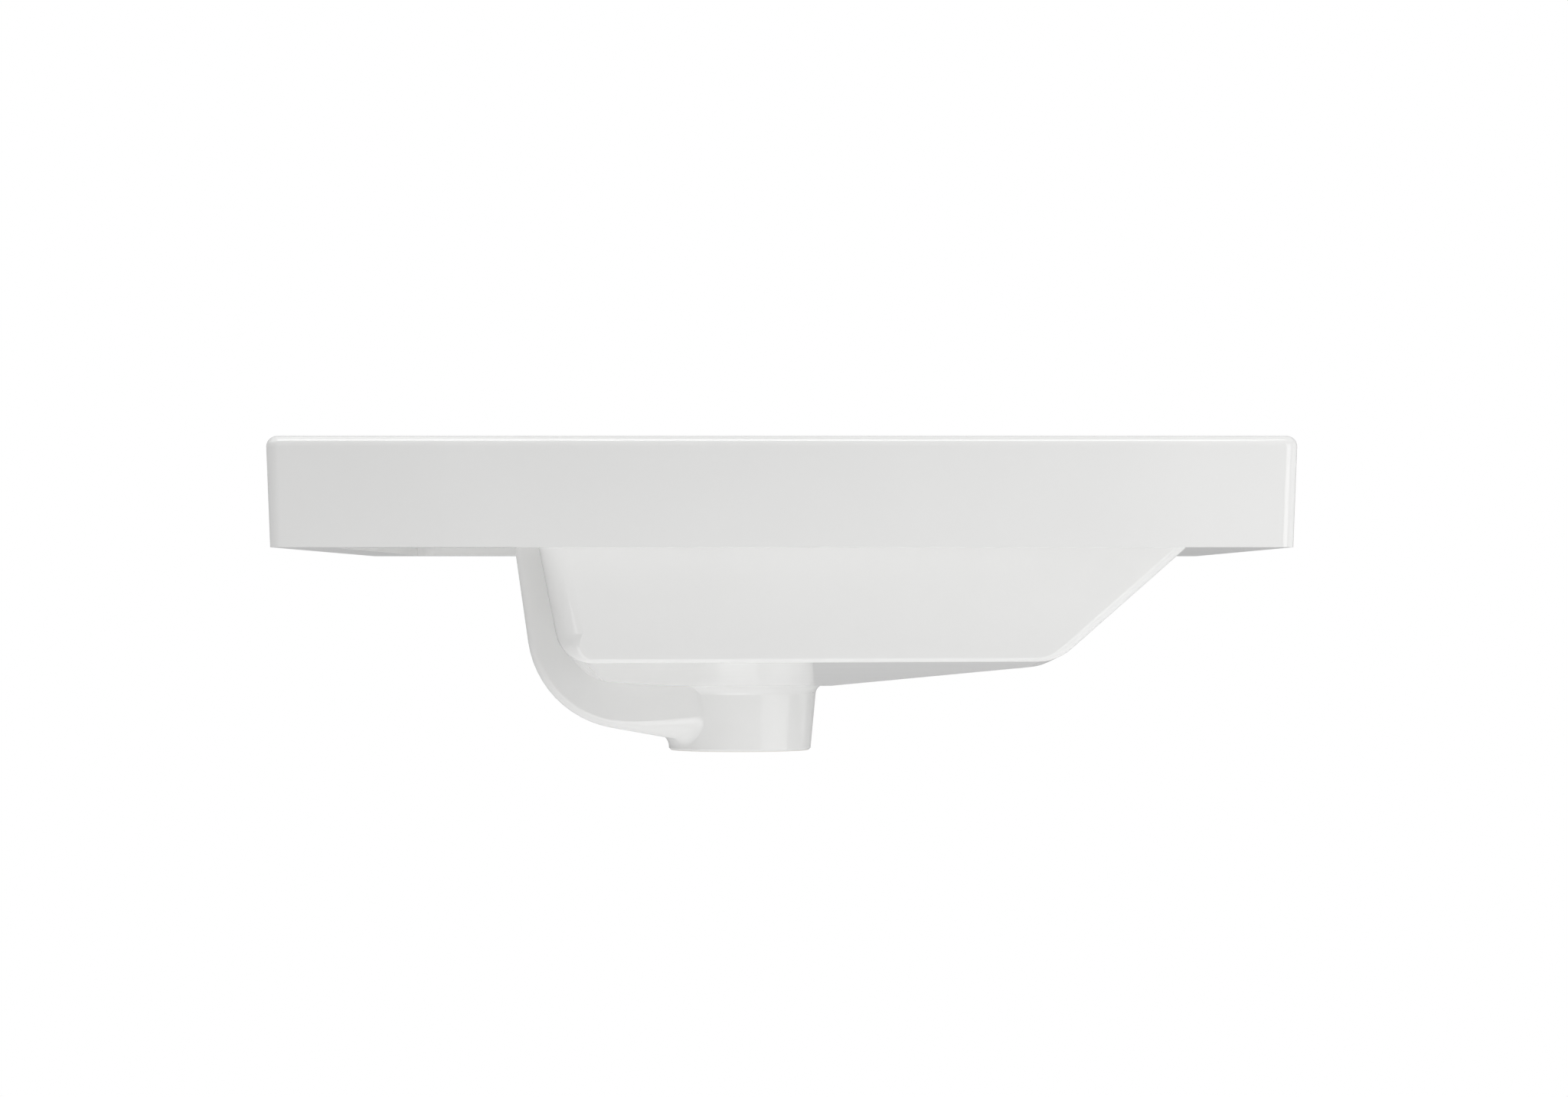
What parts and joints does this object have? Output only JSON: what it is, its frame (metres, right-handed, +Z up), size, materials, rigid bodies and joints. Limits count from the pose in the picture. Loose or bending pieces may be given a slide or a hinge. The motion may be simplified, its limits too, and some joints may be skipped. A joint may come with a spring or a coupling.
{
  "type": "inset basin",
  "caption": "Rectangular glazed ceramic inset basin with a flat-sided rim, sloping front, cast-in overflow duct, tapered waste boss and a push-open waste plug.",
  "frame": {"origin": "drain axis at the underside of the waste boss", "axes": "+Z up along the drain axis, +Y to the tap deck at the back, +X to the user's right"},
  "size_m": [0.4696, 0.4396, 0.142],
  "materials": {
    "glazed_ceramic": "gloss white glaze",
    "chromed_brass": "polished chrome on brass",
    "chrome_trim": "polished chrome on moulded trim",
    "soft_sleeve": "soft translucent white",
    "black_rubber": "matt moulded",
    "turned_brass": "turned",
    "moulded_plastic": "moulded acetal",
    "spring_steel": "stainless wire"
  },
  "bodies": {
    "basin": {"basin_body": "glazed_ceramic", "overflow_ring": "chrome_trim", "overflow_sleeve": "soft_sleeve", "waste_gasket": "black_rubber", "waste_cup": "chromed_brass", "cartridge_body": "moulded_plastic", "cartridge_cap": "moulded_plastic", "cartridge_spring": "spring_steel", "cartridge_screw": "spring_steel"},
    "plug": {"plug_cap": "chromed_brass", "plug_seal": "black_rubber", "plug_stem": "turned_brass"}
  },
  "joints": [
    {"name": "plug_lift", "type": "slide", "parent": "basin", "child": "plug", "axis": [0, 0, 1], "range_m": [0, 0.0075], "deforming": ["cartridge_spring"]}
  ]
}
